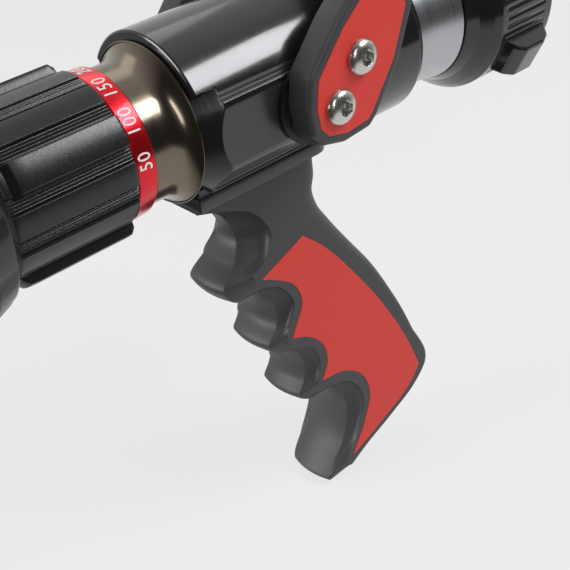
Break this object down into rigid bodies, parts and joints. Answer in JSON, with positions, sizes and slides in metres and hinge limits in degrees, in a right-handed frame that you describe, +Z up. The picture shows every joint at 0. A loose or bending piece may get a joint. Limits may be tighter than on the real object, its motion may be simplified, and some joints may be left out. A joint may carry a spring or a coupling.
{
  "type": "fire hose nozzle",
  "caption": "Pistol-grip fire hose nozzle: ball valve with bail handle, marked flow ring, rotating pattern sleeve with bumper and swivel hose coupling.",
  "frame": {"origin": "centre of the swivel coupling's inlet face, on the waterway's axis", "axes": "+X along the waterway from the outlet towards the hose, +Z up through the bail handle, -Z down the pistol grip, +Y to the right of a person who points the nozzle away from themselves"},
  "size_m": [0.218, 0.0772, 0.2317],
  "materials": {
    "bronze": "hard-anodised dark bronze, fine turned lines",
    "red_ring": "red anodised aluminium, gloss",
    "black_anodised": "hard-anodised black aluminium, satin",
    "black_rubber": "moulded rubber, matt",
    "seal_rubber": "smooth rubber",
    "red_nylon": "moulded red plastic",
    "red_inlay": "satin red inlay",
    "grey_nylon": "fine-textured dark grey nylon",
    "stainless": "turned stainless steel",
    "brass": "machined brass",
    "seat_plastic": "white seat plastic",
    "silver": "clear-anodised aluminium, satin"
  },
  "bodies": {
    "nozzle_body": {"barrel": "bronze", "sleeve_seal": "seal_rubber", "stem_spider": "brass", "valve_body": "black_anodised", "body_seal": "seal_rubber", "front_seat": "seat_plastic", "rear_seat": "seat_plastic", "trunnion_seal_left": "seal_rubber", "trunnion_seal_right": "seal_rubber", "thrust_washer_left": "seal_rubber", "thrust_washer_right": "seal_rubber", "inlet_adapter": "silver", "adapter_seal": "seal_rubber", "swivel_wire": "stainless", "pistol_grip": "grey_nylon", "grip_panel_left": "red_inlay", "grip_panel_right": "red_inlay", "grip_screw_front": "stainless", "grip_screw_rear": "stainless", "detent_ball": "stainless", "detent_spring": "stainless"},
    "bail": {"bail_arm_left": "grey_nylon", "bail_arm_right": "grey_nylon", "bail_cover_left": "red_inlay", "bail_cover_right": "red_inlay", "pivot_screw_left": "stainless", "pivot_screw_right": "stainless", "upper_screw_left": "stainless", "upper_screw_right": "stainless", "bail_bar": "stainless", "bail_bar_grip": "black_rubber", "trunnion_left": "stainless", "trunnion_right": "stainless", "ball": "stainless"},
    "flow_ring": {"flow_ring": "red_ring"},
    "baffle": {"baffle_stem": "stainless", "baffle_head": "brass", "baffle_nut": "stainless"},
    "stream_shaper": {"stream_shaper": "black_anodised"},
    "pattern_sleeve": {"pattern_sleeve": "black_anodised", "sleeve_grip_cover": "black_rubber", "bumper": "black_rubber"},
    "fog_teeth": {"fog_teeth_ring": "red_nylon"},
    "coupling": {"coupling_ring": "black_anodised", "coupling_gasket": "seal_rubber", "inlet_strainer": "stainless"}
  },
  "joints": [
    {"name": "bail_hinge", "type": "hinge", "parent": "nozzle_body", "child": "bail", "pos_m": [-0.1013, 0, 0], "axis": [0, -1, 0], "range_deg": [0, 90]},
    {"name": "flow_ring_turn", "type": "hinge", "parent": "nozzle_body", "child": "flow_ring", "pos_m": [-0.157, 0, 0], "axis": [1, 0, 0], "range_deg": [-60, 60]},
    {"name": "baffle_slide", "type": "slide", "parent": "nozzle_body", "child": "baffle", "axis": [-1, 0, 0], "range_m": [-0.0015, 0.0015]},
    {"name": "sleeve_turn", "type": "hinge", "parent": "stream_shaper", "child": "pattern_sleeve", "pos_m": [-0.19, 0, 0], "axis": [1, 0, 0], "range_deg": [0, 180]},
    {"name": "sleeve_slide", "type": "slide", "parent": "nozzle_body", "child": "stream_shaper", "axis": [-1, 0, 0], "range_m": [0, 0.008]},
    {"name": "fog_teeth_spin", "type": "hinge", "parent": "pattern_sleeve", "child": "fog_teeth", "pos_m": [-0.2148, 0, 0], "axis": [1, 0, 0], "continuous": true},
    {"name": "coupling_swivel", "type": "hinge", "parent": "nozzle_body", "child": "coupling", "pos_m": [-0.02, 0, 0], "axis": [1, 0, 0], "continuous": true}
  ],
  "couplings": [
    {"joint": "baffle_slide", "follows": "flow_ring_turn", "m_per_rad": 0.0014},
    {"joint": "sleeve_slide", "follows": "sleeve_turn", "m_per_rad": 0.0025}
  ]
}
